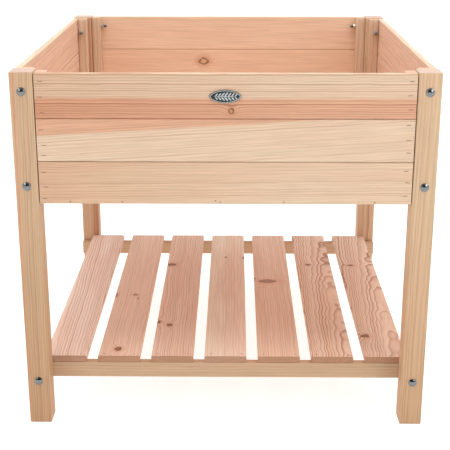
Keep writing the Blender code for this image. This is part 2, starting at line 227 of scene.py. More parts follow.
def only(piece):
    bpy.ops.object.select_all(action="DESELECT")
    piece.select_set(True)
    bpy.context.view_layer.objects.active = piece


GRID = 0.009                   # length of the small faces that carry the planer's waves


def divide(piece, low, high):
    """Divide the long faces finely enough to follow a slight wave."""
    for axis in range(3):
        reach = high[axis] - low[axis]
        if reach > 2 * GRID:
            choose(piece, "EDGE",
                   lambda edge: abs(edge.verts[0].co[axis] - edge.verts[1].co[axis]) > reach / 2)
            bpy.ops.mesh.subdivide(number_cuts=int(reach / GRID))


waves = bpy.data.textures.new("planer_waves", "CLOUDS")
waves.noise_scale = 0.07
waves.noise_depth = 2


def dress(piece, depth=0.0005):
    """Planed timber is never quite flat: sink its faces here and there by up to `depth`."""
    only(piece)
    wave = piece.modifiers.new("waves", "DISPLACE")
    wave.texture = waves
    wave.strength = depth
    wave.mid_level = 1.0
    bpy.ops.object.modifier_apply(modifier=wave.name)


BOLT_NODES = [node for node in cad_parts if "_bolt_" in node]
HOLE_RADIUS = 0.0033


def drill(piece, low, high):
    """Bore the holes of the bolts that pass through this box."""
    cutters = []
    for node in BOLT_NODES:
        first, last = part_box(node)
        middle, size = (first + last) / 2, last - first
        axis = max(range(3), key=lambda way: size[way])
        if all(way == axis or low[way] < middle[way] < high[way] for way in range(3)) \
                and first[axis] < high[axis] and last[axis] > low[axis]:
            turn = (0.0, pi / 2, 0.0) if axis == 0 else (pi / 2, 0.0, 0.0)
            bpy.ops.mesh.primitive_cylinder_add(vertices=24, radius=HOLE_RADIUS, depth=3 * size[axis],
                                                location=middle, rotation=turn)
            cutters.append(bpy.context.object)
    for cutter in cutters:
        only(piece)
        hole = piece.modifiers.new("hole", "BOOLEAN")
        hole.operation = "DIFFERENCE"
        hole.object = cutter
        bpy.ops.object.modifier_apply(modifier=hole.name)
        bpy.data.objects.remove(cutter, do_unlink=True)


def stick(name, low, high, ease, end_ease):
    """A planed stick that fills a box: a block with eased edges, dressed and bored."""
    bpy.ops.mesh.primitive_cube_add(size=1.0, location=(low + high) / 2, scale=high - low)
    piece = bpy.context.object
    piece.name = piece.data.name = name
    bpy.ops.object.transform_apply(location=True, rotation=False, scale=True)
    bpy.ops.object.mode_set(mode="EDIT")
    run = max(range(3), key=lambda axis: high[axis] - low[axis])
    choose(piece, "EDGE", lambda edge: abs(edge.verts[0].co[run] - edge.verts[1].co[run]) > ease)
    bpy.ops.mesh.bevel(offset=ease, segments=3, affect="EDGES")
    choose(piece, "EDGE", lambda edge: abs(edge.verts[0].co[run] - edge.verts[1].co[run]) < ease)
    bpy.ops.mesh.bevel(offset=end_ease, segments=2, affect="EDGES")
    divide(piece, low, high)
    bpy.ops.object.mode_set(mode="OBJECT")
    dress(piece)
    drill(piece, low, high)
    only(piece)
    bpy.ops.object.shade_smooth_by_angle(angle=radians(35))
    return piece


def fit(piece, material, node):
    """Give a finished piece its wood, and let it stand for its node of the frame."""
    piece.data.materials.clear()
    piece.data.materials.append(material)
    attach(piece, "root")
    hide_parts(node)


POST_EASE = 0.0017
POST_END_EASE = 0.0015
POSTS = {
    # node: pith of its log beside the post's middle (x, y), heartwood, ring, late wood, sapwood
    "leg_front_left": ((-0.052, -0.034), 0.044, 0.0052, 0.48, "#C9AB89"),
    "leg_front_right": ((0.085, 0.022), 0.045, 0.0066, 0.40, "#D0B391"),
    "leg_back_left": ((0.060, -0.050), 0.062, 0.0050, 0.5, "#DDC0A0"),
    "leg_back_right": ((-0.048, 0.060), 0.058, 0.0050, 0.5, "#DDC0A0"),
}
for number, (node, (beside, heart, ring, late, pale)) in enumerate(POSTS.items()):
    low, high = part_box(node)
    middle = (low + high) / 2
    post = stick(node.replace("leg", "post"), low, high, POST_EASE, POST_END_EASE)
    # painted shade darkens each post towards its foot
    wood = pine(f"planed_pine_{post.name}", "Z", (middle.x + beside[0], middle.y + beside[1], 0.35),
                heart, lean=(0.8, 0.0), ring=ring, late=late, seed=1.7 * number, warp=0.003,
                pale=pale, rose="#CDA382", end="#C3AB9D", painted_shade=0.45)
    fit(post, wood, node)


# ---- Wall boards --------------------------------------------------------------------------------
# Three tongue-and-groove boards close each side, planed from pine that is part pale sapwood and
# part rose heartwood.  Small chamfers meet in a V at each joint, and the ends stop just short of
# the posts.

JOINT_CHAMFER = 0.0016
RIM_EASE = 0.0012
TONGUE_THICK = 0.004
GROOVE_WIDTH = 0.0046
GROOVE_DEPTH = 0.0055
BOARD_ROWS = ("bottom", "middle", "top")
SIDE_TURNS = {"front": 0.0, "right": 90.0, "back": 180.0, "left": 270.0}


def wall_board(name, low, high, shoulder, grooved):
    """A board of the front: its section is cut from a plane, then extruded along the wall."""
    middle = (low + high) / 2
    tongued = high.z > shoulder + GROOVE_WIDTH / 10
    bpy.ops.mesh.primitive_plane_add(size=1.0, location=(low.x, middle.y, (low.z + shoulder) / 2),
                                     rotation=(0.0, pi / 2, 0.0))
    piece = bpy.context.object
    piece.name = piece.data.name = name
    piece.scale = (shoulder - low.z, high.y - low.y, 1.0)
    bpy.ops.object.transform_apply(location=True, rotation=True, scale=True)
    bpy.ops.object.mode_set(mode="EDIT")
    cuts = [GROOVE_WIDTH / 2 * grooved, TONGUE_THICK / 2 * tongued]
    for half in [cut for cut in cuts if cut]:
        for way in (-1, 1):
            bpy.ops.mesh.select_all(action="SELECT")
            bpy.ops.mesh.bisect(plane_co=(0.0, middle.y + way * half, 0.0), plane_no=(0.0, 1.0, 0.0))
    if grooved:
        roof = low.z + GROOVE_DEPTH
        bpy.ops.mesh.select_all(action="SELECT")
        bpy.ops.mesh.bisect(plane_co=(0.0, 0.0, roof), plane_no=(0.0, 0.0, 1.0))
        choose(piece, "FACE", lambda face: face.calc_center_median().z < roof
               and abs(face.calc_center_median().y - middle.y) < GROOVE_WIDTH / 2)
        bpy.ops.mesh.delete(type="FACE")
    if tongued:
        choose(piece, "EDGE", lambda edge: all(abs(vert.co.z - shoulder) < 1e-5 for vert in edge.verts)
               and abs(edge.verts[0].co.y + edge.verts[1].co.y - 2 * middle.y) < TONGUE_THICK
               and all(abs(vert.co.y - middle.y) < TONGUE_THICK * 0.51 for vert in edge.verts))
        bpy.ops.mesh.extrude_region_move(
            TRANSFORM_OT_translate={"value": (0.0, 0.0, high.z - shoulder)})
    bpy.ops.mesh.select_all(action="SELECT")
    bpy.ops.mesh.extrude_region_move(TRANSFORM_OT_translate={"value": (high.x - low.x, 0.0, 0.0)})
    bpy.ops.mesh.select_all(action="SELECT")
    bpy.ops.mesh.remove_doubles(threshold=1e-6)
    bpy.ops.mesh.normals_make_consistent(inside=False)

    def outer_edge(edge, height):
        return all(abs(vert.co.z - height) < 1e-5 and min(vert.co.y - low.y, high.y - vert.co.y) < 1e-5
                   for vert in edge.verts) and abs(edge.verts[0].co.x - edge.verts[1].co.x) > 0.1

    for height, jointed in ((low.z, grooved), (shoulder, tongued)):
        choose(piece, "EDGE", lambda edge: outer_edge(edge, height))
        if jointed:
            bpy.ops.mesh.bevel(offset=JOINT_CHAMFER, segments=1, affect="EDGES")
        else:
            bpy.ops.mesh.bevel(offset=RIM_EASE, segments=3, affect="EDGES")
    divide(piece, Vector((low.x, low.y, low.z)), Vector((high.x, high.y, shoulder)))
    bpy.ops.object.mode_set(mode="OBJECT")
    return piece


def turned_copy(piece, name, turn):
    """A copy with its own mesh, turned about the planter's middle."""
    copy = piece.copy()
    copy.data = piece.data.copy()
    bpy.context.collection.objects.link(copy)
    copy.name = copy.data.name = name
    only(copy)
    copy.rotation_euler.z = turn
    bpy.ops.object.transform_apply(location=True, rotation=True, scale=True)
    return copy


def front_knot(x, z, wide, tall, darkness):
    """A knot on the front or back boards, which runs through their thickness."""
    return (x, 0.0, z), (wide / 2, 0.0, tall / 2), darkness


def side_knot(y, z, wide, tall, darkness):
    return (0.0, y, z), (0.0, wide / 2, tall / 2), darkness


# The log of each board: pith (x and y, or height), heartwood, lean, ring, late wood, colours, knots.
# The pith lies outside the board, so its rings cross the face as straight or slowly curving lines.
BOARD_WOOD = {
    # the front's top and bottom boards are darkened towards their left ends: painted shade
    "front_board_top": dict(pith=(0.0, -0.371, 0.566), heart=0.099, ring=0.0046, late=0.60,
                            warp=0.0012, painted_shade=0.3,
                            knots=[front_knot(0.0106, 0.639, 0.010, 0.010, 0.9)]),
    "front_board_middle": dict(pith=(-0.345, -0.365, 0.662), heart=0.076, lean=(-3.6, 0.0),
                               ring=0.0046, late=0.28, warp=0.0012),
    "front_board_bottom": dict(pith=(0.0, -0.340, 0.640), heart=0.050, lean=(-0.8, 0.0), ring=0.0048,
                               late=0.32, warp=0.0016, painted_shade=0.35, pale="#DCC0A4"),
    # the back's top and middle boards get a paler rose than the other walls: painted light that lifts the
    # shade inside the box
    "back_board_top": dict(pith=(0.0, 0.340, 0.560), heart=0.30, lean=(0.4, 0.0), ring=0.0060,
                           late=0.09, rose="#F0CFB4"),
    "back_board_middle": dict(pith=(0.0, 0.345, 0.640), heart=0.30, lean=(0.6, 0.0), ring=0.0062,
                              late=0.10, rose="#F0CDB0",
                              core="#DDAE88", knots=[front_knot(-0.064, 0.594, 0.025, 0.018, 0.8)]),
    "back_board_bottom": dict(pith=(0.0, 0.350, 0.430), heart=0.050, ring=0.0055, late=0.35),
    "left_board_top": dict(pith=(-0.350, 0.0, 0.604), heart=0.106, lean=(0.0, 0.6), ring=0.0062,
                           late=0.38, rose="#E4C0A8", warp=0.005,
                           knots=[side_knot(-0.18, 0.655, 0.022, 0.014, 0.7)]),
    "left_board_middle": dict(pith=(-0.352, 0.0, 0.580), heart=0.20, lean=(0.0, -1.4), ring=0.0062,
                              late=0.38, rose="#E4C0A8", warp=0.005,
                              knots=[side_knot(0.12, 0.585, 0.020, 0.014, 0.75)]),
    "left_board_bottom": dict(pith=(-0.352, 0.0, 0.40), heart=0.09, ring=0.0055, late=0.4),
    "right_board_top": dict(pith=(0.350, 0.0, 0.606), heart=0.105, lean=(0.0, -0.6), ring=0.0062,
                            late=0.38, rose="#E4C0A8", warp=0.005,
                            knots=[side_knot(-0.20, 0.675, 0.020, 0.012, 0.8)]),
    "right_board_middle": dict(pith=(0.352, 0.0, 0.600), heart=0.20, lean=(0.0, 1.2), ring=0.0062,
                               late=0.38, rose="#E4C0A8", warp=0.005,
                               knots=[side_knot(-0.05, 0.570, 0.024, 0.013, 0.75)]),
    "right_board_bottom": dict(pith=(0.352, 0.0, 0.42), heart=0.07, ring=0.0055, late=0.4),
}
for number, row in enumerate(BOARD_ROWS):
    low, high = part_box(f"front_board_{row}")
    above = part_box(f"front_board_{BOARD_ROWS[number + 1]}")[0].z - 0.0003 if row != "top" else high.z
    first = wall_board(f"board_{row}", low, high, above, row != "bottom")
    for side, turn in SIDE_TURNS.items():
        board = turned_copy(first, f"{side}_wall_board_{row}", radians(turn))
        dress(board, 0.0006)
        only(board)
        bpy.ops.object.shade_smooth_by_angle(angle=radians(35))
        node = f"{side}_board_{row}"
        along = "X" if side in ("front", "back") else "Y"
        wood = pine(f"planed_pine_{node}", along, seed=3.1 * number + turn / 50, **BOARD_WOOD[node])
        fit(board, wood, node)
    bpy.data.objects.remove(first, do_unlink=True)


# ---- Battens ------------------------------------------------------------------------------------
# A 22 mm square batten of planed pine stands at each end of a wall, inside the box, and holds its
# three boards together.  The bolts of the neighbouring wall pass through it.

BATTEN_EASE = 0.0014
for number, node in enumerate(sorted(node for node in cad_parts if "_batten_" in node)):
    low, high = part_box(node)
    middle = (low + high) / 2
    batten = stick(node.replace("batten", "upright_batten"), low, high, BATTEN_EASE, BATTEN_EASE / 2)
    wood = pine(f"planed_pine_{node}", "Z", (middle.x + 0.03 - 0.011 * (number % 5),
                                             middle.y + 0.05, 0.6), 0.035 + 0.004 * (number % 4),
                ring=0.0045, late=0.45, seed=2.3 * number, warp=0.002)
    fit(batten, wood, node)


# ---- Floor of the box ---------------------------------------------------------------------------
# Sawn pine boards lie across two cleats at the foot of the walls, a drain gap apart.  They keep
# the shapes of the frame, with their corners notched round the posts.

for number in range(1, 5):
    node = f"floor_board_{number}"
    low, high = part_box(node)
    middle = (low + high) / 2
    wood = pine(f"sawn_pine_{node}", "Y", (middle.x + 0.02 * (-1) ** number, 0.0, low.z - 0.045),
                0.085, lean=(1.2 * (-1) ** number, 0.0), ring=0.0060, late=0.5, seed=4.1 * number,
                warp=0.004, knots=[((middle.x + 0.03, 0.11 * (-1) ** number, 0.0),
                                    (0.009, 0.012, 0.0), 0.8)])
    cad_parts[node].data.materials.clear()
    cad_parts[node].data.materials.append(wood)
for end in ("front", "back"):
    node = f"floor_cleat_{end}"
    low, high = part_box(node)
    wood = pine(f"sawn_pine_{node}", "X", (0.0, low.y + 0.03, low.z - 0.03), 0.03, seed=len(end))
    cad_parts[node].data.materials.clear()
    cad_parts[node].data.materials.append(wood)


# ---- Shelf --------------------------------------------------------------------------------------
# Two pine rails are bolted to the inner sides of the posts, and seven planed slats lie across them,
# each nailed twice at both ends.  The slats are rose heartwood with small knots and bold grain.

RAIL_EASE = 0.0014
SLAT_EASE = 0.0032
RAIL_WOOD = {"front": ((0.0, -0.40, 0.020), 0.050), "back": ((0.0, 0.40, 0.150), 0.045)}
for end, (pith, heart) in RAIL_WOOD.items():
    node = f"shelf_rail_{end}"
    low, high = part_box(node)
    rail = stick(f"shelf_bearer_{end}", low, high, RAIL_EASE, RAIL_EASE / 2)
    wood = pine(f"planed_pine_{node}", "X", pith, heart, ring=0.0040, late=0.3, seed=7.7 + len(end),
                warp=0.0016, pale="#C6A585", rose="#C09474")
    fit(rail, wood, node)


def slat_knot(offset, y, wide, long, darkness):
    """A knot on a slat: how far right of the slat's middle, and how far back."""
    return (offset, y, 0.0), (wide / 2, long / 2, 0.0), darkness


# For each slat: pith right of its middle and above its underside, heartwood and its colour, lean,
# ring, late wood, warp and ripple of the rings, knots.
SLATS = (
    ((-0.062, -0.040), 0.30, "#F1D8C8", (0.5, 0.6), 0.0042, 0.75, 0.004, 0.0010, ()),
    ((0.070, -0.030), 0.30, "#E6C3AD", (0.2, 0.3), 0.0040, 0.42, 0.003, 0.0014,
     (slat_knot(-0.005, -0.317, 0.014, 0.016, 0.9), slat_knot(0.004, -0.046, 0.012, 0.010, 0.6),
      slat_knot(-0.041, -0.050, 0.008, 0.022, 0.8), slat_knot(0.011, -0.066, 0.005, 0.007, 0.7))),
    ((-0.065, -0.030), 0.30, "#E5C3AE", (0.3, -0.3), 0.0040, 0.60, 0.003, 0.0016,
     (slat_knot(-0.031, 0.138, 0.020, 0.016, 0.85), slat_knot(-0.040, -0.190, 0.010, 0.014, 0.9),
      slat_knot(-0.014, -0.204, 0.012, 0.014, 0.8))),
    ((0.055, -0.045), 0.083, "#E9CBB6", (0.1, 0.2), 0.0044, 0.28, 0.003, 0.0008,
     (slat_knot(-0.004, 0.188, 0.005, 0.010, 0.7), slat_knot(0.041, 0.185, 0.006, 0.014, 0.7))),
    ((0.060, -0.035), 0.30, "#E6C2AB", (0.2, 0.4), 0.0040, 0.40, 0.003, 0.0014,
     (slat_knot(-0.011, 0.035, 0.038, 0.019, 0.6), slat_knot(-0.042, 0.052, 0.006, 0.008, 0.8))),
    ((0.032, -0.022), 0.30, "#E8C7B0", (3.2, 0.6), 0.0048, 1.0, 0.005, 0.0026,
     (slat_knot(-0.014, 0.140, 0.012, 0.009, 0.95),)),
    ((0.036, -0.030), 0.30, "#E6C6B0", (2.4, -1.4), 0.0048, 0.95, 0.005, 0.0024,
     (slat_knot(-0.016, 0.137, 0.014, 0.008, 0.95), slat_knot(-0.029, -0.253, 0.018, 0.014, 0.85))),
)
for number, (beside, heart, rose, lean, ring, late, warp, ripple, knots) in enumerate(SLATS, 1):
    node = f"shelf_slat_{number}"
    low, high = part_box(node)
    middle = (low + high) / 2
    slat = stick(f"shelf_board_{number}", low, high, SLAT_EASE, SLAT_EASE / 5)
    placed = [(Vector(centre) + Vector((middle.x, 0.0, 0.0)), size, darkness)
              for centre, size, darkness in knots]
    wood = pine(f"planed_rose_pine_{node}", "Y", (middle.x + beside[0], 0.0, low.z + beside[1]), heart,
                lean=lean, ring=ring, late=late, warp=warp, knots=placed, seed=1.3 * number,
                rose=rose, pale="#E8D2BD", end="#A2714F", core="#8A5A40", mottle=0.5,
                ripple=ripple)
    fit(slat, wood, node)


# ---- Nails --------------------------------------------------------------------------------------
# Small round wire nails hold the slats to the rails and the cleats to the front and back walls.
# Their heads are driven flush and have dulled, so each shows as a dark dot.

NAIL_RADIUS = 0.0014
NAIL_HEAD = 0.0014             # thickness of the head
NAIL_LENGTH = 0.022            # of the shank, which tapers to a point
NAIL_PROUD = 0.0002            # rise of the head's dome
NAIL_SINK = 0.0006             # the head's middle lies this deep, so a little of it stands proud
NAIL_FROM_END = 0.0092
NAIL_SPREAD = 0.031            # each side of the slat's middle
CLEAT_NAILS = (-0.289, -0.192, -0.018, -0.009, 0.109, 0.278)

# bare drawn steel that has browned in the wood's resin: half metal, with no clear reflections
dull_steel = bpy.data.materials.new("dull_nail_steel")
dull_steel.use_nodes = True
skin = dull_steel.node_tree.nodes["Principled BSDF"]
skin.inputs["Metallic"].default_value = 0.6
skin.inputs["Roughness"].default_value = 0.55
grime = add(dull_steel, "TexNoise", {"Vector": add(dull_steel, "TexCoord").outputs["Object"],
                                     "Scale": 900.0, "Detail": 3.0}).outputs[0]
grime = add(dull_steel, "Mix", {0: grime, 6: linear("#A5836B"), 7: linear("#876A58")},
            data_type="RGBA").outputs[2]
dull_steel.node_tree.links.new(grime, skin.inputs["Base Color"])


def nail(name, place, turn):
    """A nail: its domed head is flush with the wood and its shank is inside."""
    bpy.ops.mesh.primitive_cylinder_add(vertices=16, radius=NAIL_RADIUS, depth=NAIL_HEAD)
    piece = bpy.context.object
    piece.name = piece.data.name = name
    bpy.ops.object.mode_set(mode="EDIT")
    choose(piece, "FACE", lambda face: face.normal.z > 0.9)
    bpy.ops.mesh.inset(thickness=0.0004)
    bpy.ops.transform.translate(value=(0.0, 0.0, NAIL_PROUD))
    choose(piece, "FACE", lambda face: face.normal.z < -0.9)
    bpy.ops.mesh.inset(thickness=0.0007)
    bpy.ops.mesh.extrude_region_move(TRANSFORM_OT_translate={"value": (0.0, 0.0, -NAIL_LENGTH)})
    bpy.ops.mesh.merge(type="CENTER")
    bpy.ops.object.mode_set(mode="OBJECT")
    piece.rotation_euler = turn
    piece.location = place
    bpy.ops.object.transform_apply(location=True, rotation=True, scale=True)
    bpy.ops.object.shade_smooth_by_angle(angle=radians(40))
    piece.data.materials.append(dull_steel)
    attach(piece, "root")
    return piece


for number in range(1, len(SLATS) + 1):
    low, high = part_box(f"shelf_slat_{number}")
    for end, y in (("front", low.y + NAIL_FROM_END), ("back", high.y - NAIL_FROM_END)):
        for hand, x in (("left", -NAIL_SPREAD), ("right", NAIL_SPREAD)):
            stray = 0.0015 * sin(37.0 * number + 11.0 * x + 5.0 * y)
            nail(f"slat_nail_{number}_{end}_{hand}",
                 ((low.x + high.x) / 2 + x + stray, y + stray, high.z - NAIL_SINK), (0.0, 0.0, 0.0))
for end, way in (("front", -1), ("back", 1)):
    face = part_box(f"{end}_board_bottom")[0 if way < 0 else 1].y
    for number, x in enumerate(CLEAT_NAILS, start=1):
        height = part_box("floor_cleat_front")[0].z + 0.004 + 0.003 * (number % 4 == 3)
        nail(f"cleat_nail_{end}_{number}", (x, face - way * NAIL_SINK, height),
             (way * -pi / 2, 0.0, 0.0))


# ---- Staples ------------------------------------------------------------------------------------
# Wire staples shot from the outside hold each wall board to its battens.  Only their narrow backs
# show, as short dashes a little inside the board's ends.

STAPLE_WIDTH = 0.0085
STAPLE_WIRE = 0.0010
STAPLE_DEPTH = 0.016
STAPLE_INSET = 0.011
LEFT_STAPLES = (0.693, 0.664, 0.635, 0.603, 0.574, 0.555, 0.522, 0.494, 0.471)
RIGHT_STAPLES = (0.694, 0.668, 0.642, 0.613, 0.585, 0.561, 0.526, 0.504, 0.478)

bpy.ops.mesh.primitive_cube_add(size=1.0, scale=(STAPLE_WIDTH, STAPLE_WIRE, STAPLE_WIRE))
staple = bpy.context.object
bpy.ops.object.transform_apply(location=True, rotation=True, scale=True)
bpy.ops.object.mode_set(mode="EDIT")
for way in (-1, 1):
    bpy.ops.mesh.select_all(action="SELECT")
    bpy.ops.mesh.bisect(plane_co=(way * (STAPLE_WIDTH / 2 - STAPLE_WIRE), 0.0, 0.0),
                        plane_no=(1.0, 0.0, 0.0))
choose(staple, "FACE", lambda face: face.normal.y > 0.9
       and abs(face.calc_center_median().x) > STAPLE_WIDTH / 2 - STAPLE_WIRE)
bpy.ops.mesh.extrude_region_move(TRANSFORM_OT_translate={"value": (0.0, STAPLE_DEPTH, 0.0)})
choose(staple, "EDGE", lambda edge: all(vert.co.y < 0.0 for vert in edge.verts)
       and abs(edge.verts[0].co.z + edge.verts[1].co.z) > STAPLE_WIRE / 2
       or all(abs(vert.co.x) > STAPLE_WIDTH / 2 - 1e-6 and vert.co.y < 0.0 for vert in edge.verts))
bpy.ops.mesh.bevel(offset=STAPLE_WIRE * 0.3, segments=2, affect="EDGES")
bpy.ops.object.mode_set(mode="OBJECT")
bpy.ops.object.shade_smooth_by_angle(angle=radians(40))
staple.data.materials.append(dull_steel)

for side, turn in SIDE_TURNS.items():
    low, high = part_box("front_board_top")
    for hand, x, heights in (("left", low.x + STAPLE_INSET, LEFT_STAPLES),
                             ("right", high.x - STAPLE_INSET, RIGHT_STAPLES)):
        for number, height in enumerate(heights, start=1):
            stray = sin(91.0 * height + turn)
            copy = staple.copy()
            copy.data = staple.data.copy()
            bpy.context.collection.objects.link(copy)
            copy.name = copy.data.name = f"staple_{side}_{hand}_{number}"
            only(copy)
            copy.location = (x + 0.002 * stray, low.y + STAPLE_WIRE / 2 - 0.0002, height)
            copy.rotation_euler = (0.0, radians(4.0 * stray), 0.0)
            bpy.ops.object.transform_apply(location=True, rotation=True, scale=True)
            copy.rotation_euler.z = radians(turn)
            bpy.ops.object.transform_apply(location=True, rotation=True, scale=True)
            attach(copy, "root")
bpy.data.objects.remove(staple, do_unlink=True)


# ---- Bolts, washers and nuts --------------------------------------------------------------------
# Zinc-plated M6 coach bolts hold the walls and the rails to the posts.  Their smooth domed heads
# are on the outside; inside, each has a washer, a hexagon nut and a few turns of bare thread.

HEAD_RADIUS = 0.0081
HEAD_HEIGHT = 0.0033
SHANK = 0.003
THREAD_ROOT = 0.0025
PITCH = 0.001
NECK = 0.006                   # the square under the head, which the post grips
WASHER_OUTER = 0.006
WASHER_THICK = 0.0016
NUT_FLATS = 0.010
NUT_THICK = 0.005
NUT_TURNED = 0.0007            # length of the turned corners at each end
CLAMPED = {"panel": 0.0656, "shelf": 0.0586}       # wood between head and washer
GAP = 0.0003                   # between the wood and the washer
BARE = 0.004                   # the thread starts this far inside the wood


def zinc_plate(name, light, dark, smooth, rough):
    """Electroplated zinc on steel: a thin bright grey skin whose fine crystals blur it in patches."""
    zinc = bpy.data.materials.new(name)
    zinc.use_nodes = True
    skin = zinc.node_tree.nodes["Principled BSDF"]
    skin.inputs["Metallic"].default_value = 1.0
    spot = add(zinc, "TexCoord").outputs["Object"]
    crystals = add(zinc, "TexVoronoi", {"Vector": spot, "Scale": 700.0}).outputs["Color"]
    haze = add(zinc, "TexNoise", {"Vector": spot, "Scale": 260.0, "Detail": 4.0}).outputs[0]
    plate = add(zinc, "Mix", {0: haze, 6: linear(light), 7: linear(dark)}, data_type="RGBA").outputs[2]
    plate = add(zinc, "Mix", {0: 0.06, 6: plate, 7: crystals}, data_type="RGBA",
                blend_type="OVERLAY").outputs[2]
    zinc.node_tree.links.new(plate, skin.inputs["Base Color"])
    polish = add(zinc, "MapRange", {"Value": haze, 1: 0.3, 2: 0.7, 3: smooth, 4: rough}).outputs[0]
    zinc.node_tree.links.new(polish, skin.inputs["Roughness"])
    return zinc


# the domed heads are polished and mirror the room; the washers and nuts are rougher, and their paler,
# warmer zinc is painted light that keeps them bright where they would mirror the dark room
bolt_zinc = zinc_plate("bright_zinc_plate", "#8E9090", "#6A6D6E", 0.09, 0.17)
painted_light_zinc = zinc_plate("satin_zinc_plate", "#DCD4C8", "#BDB6AC", 0.40, 0.52)


def spun(name, profile, steps):
    """Draw a profile, radius and place along Y, and spin it into a round piece about the Y axis."""
    bpy.ops.mesh.primitive_plane_add(size=0.001)
    piece = bpy.context.object
    piece.name = piece.data.name = name
    bpy.ops.object.mode_set(mode="EDIT")
    bpy.ops.mesh.select_mode(type="VERT")
    bpy.ops.mesh.select_all(action="SELECT")
    bpy.ops.mesh.merge(type="CENTER")
    bpy.ops.transform.translate(value=(*profile[0], 0.0))
    for (radius, along), (next_radius, next_along) in zip(profile, profile[1:]):
        step = (next_radius - radius, next_along - along, 0.0)
        bpy.ops.mesh.extrude_region_move(TRANSFORM_OT_translate={"value": step})
    bpy.ops.mesh.select_all(action="SELECT")
    bpy.ops.mesh.spin(steps=steps, angle=2 * pi, center=(0.0, 0.0, 0.0), axis=(0.0, 1.0, 0.0))
    bpy.ops.mesh.select_all(action="SELECT")
    bpy.ops.mesh.remove_doubles(threshold=1e-6)
    bpy.ops.mesh.normals_make_consistent(inside=False)
    bpy.ops.object.mode_set(mode="OBJECT")
    bpy.ops.object.shade_smooth_by_angle(angle=radians(30))
    return piece


def coach_bolt(length, bare):
    """Head outwards, to -Y, its seat at y = 0; the last `bare` of the shank is threaded."""
    cap = (HEAD_RADIUS ** 2 + HEAD_HEIGHT ** 2) / (2 * HEAD_HEIGHT)
    spread = acos(1 - HEAD_HEIGHT / cap)
    dome = [(cap * sin(spread * i / 10), -HEAD_HEIGHT + cap * (1 - cos(spread * i / 10)))
            for i in range(11)]
    dome[-1] = (HEAD_RADIUS, -0.0003)
    turns = int(bare / PITCH)
    start = length - PITCH * turns
    thread = [(radius, start + PITCH * (turn + share)) for turn in range(turns)
              for radius, share in ((THREAD_ROOT, 0.0), (SHANK, 0.4), (SHANK, 0.6))]
    tip = [(THREAD_ROOT, length - 0.0002), (THREAD_ROOT - 0.0004, length), (0.0, length)]
    profile = [*dome, (HEAD_RADIUS - 0.0003, 0.0), (SHANK * 1.35, 0.0), (SHANK * 1.35, NECK),
               (SHANK, NECK + 0.0005), (SHANK, start), *thread, *tip]
    return spun("coach_bolt", profile, 32)


def washer_ring():
    ring = ((SHANK + 0.0002, 0.0), (WASHER_OUTER - 0.0002, 0.0), (WASHER_OUTER, 0.0002),
            (WASHER_OUTER, WASHER_THICK - 0.0002), (WASHER_OUTER - 0.0002, WASHER_THICK),
            (SHANK + 0.0002, WASHER_THICK), (SHANK + 0.0002, 0.0))
    return spun("washer", ring, 32)


def hexagon_nut():
    """A hexagonal prism, bored, with its corners turned off at both ends."""
    corner = NUT_FLATS / 2 / cos(pi / 6)
    bpy.ops.mesh.primitive_cylinder_add(vertices=6, radius=corner, depth=NUT_THICK,
                                        location=(0.0, NUT_THICK / 2, 0.0), rotation=(pi / 2, 0.0, 0.0))
    piece = bpy.context.object
    piece.name = "hexagon_nut"
    bpy.ops.object.transform_apply(location=True, rotation=True, scale=True)
    rim, height = NUT_FLATS / 2 * 0.96, NUT_THICK
    cone = ((0.0, 0.0), (rim, 0.0), (corner * 1.01, NUT_TURNED), (corner * 1.01, height - NUT_TURNED),
            (rim, height), (0.0, height))
    turned = spun("nut_turning", cone, 48)
    bore = spun("nut_bore", ((0.0, -0.001), (SHANK + 0.0001, -0.001), (SHANK + 0.0001, height + 0.001),
                             (0.0, height + 0.001)), 32)
    for tool, operation in ((turned, "INTERSECT"), (bore, "DIFFERENCE")):
        only(piece)
        cut = piece.modifiers.new("cut", "BOOLEAN")
        cut.operation = operation
        cut.object = tool
        bpy.ops.object.modifier_apply(modifier=cut.name)
        bpy.data.objects.remove(tool, do_unlink=True)
    only(piece)
    bpy.ops.object.shade_smooth_by_angle(angle=radians(30))
    return piece


washer, nut = washer_ring(), hexagon_nut()
bolts = {}
for node in BOLT_NODES:
    low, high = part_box(node)
    middle, size = (low + high) / 2, high - low
    side = node.split("_")[2]
    turn = radians(SIDE_TURNS[side])
    length = round(max(size) - HEAD_HEIGHT, 4)
    kind = "panel" if "panel" in node else "shelf"
    wood = CLAMPED[kind]
    if kind not in bolts:
        bolts[kind] = coach_bolt(length, length - wood + BARE)
    outside = {"front": (middle.x, low.y), "back": (middle.x, high.y), "left": (low.x, middle.y),
               "right": (high.x, middle.y)}[side]
    inward = Matrix.Rotation(turn, 3, "Z") @ Vector((0.0, 1.0, 0.0))
    seat = Vector((*outside, middle.z)) + inward * HEAD_HEIGHT
    spin = 0.7 * sin(50.0 * middle.z + 9.0 * middle.x)
    for piece, suffix, along in ((bolts[kind], "", 0.0), (washer, "_washer", wood + GAP),
                                 (nut, "_nut", wood + WASHER_THICK + GAP)):
        copy = piece.copy()
        copy.data = piece.data.copy()
        bpy.context.collection.objects.link(copy)
        copy.name = copy.data.name = node.replace("_bolt_", "_coach_bolt_") + suffix
        only(copy)
        copy.rotation_euler = (0.0, spin, 0.0)
        bpy.ops.object.transform_apply(location=False, rotation=True, scale=False)
        copy.rotation_euler = (0.0, 0.0, turn)
        copy.location = seat + inward * along
        bpy.ops.object.transform_apply(location=True, rotation=True, scale=True)
        copy.data.materials.append(painted_light_zinc if suffix else bolt_zinc)
        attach(copy, "root")
        if not suffix:
            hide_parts(node)
for piece in (washer, nut, *bolts.values()):
    bpy.data.objects.remove(piece, do_unlink=True)


# ---- Badge --------------------------------------------------------------------------------------
# A small plate stamped from zinc alloy, an oval with slight points, is fixed to the middle of the
# front's top board.  Its ground and edge are blackened; a rim and a sprig of leaves stand up bright.

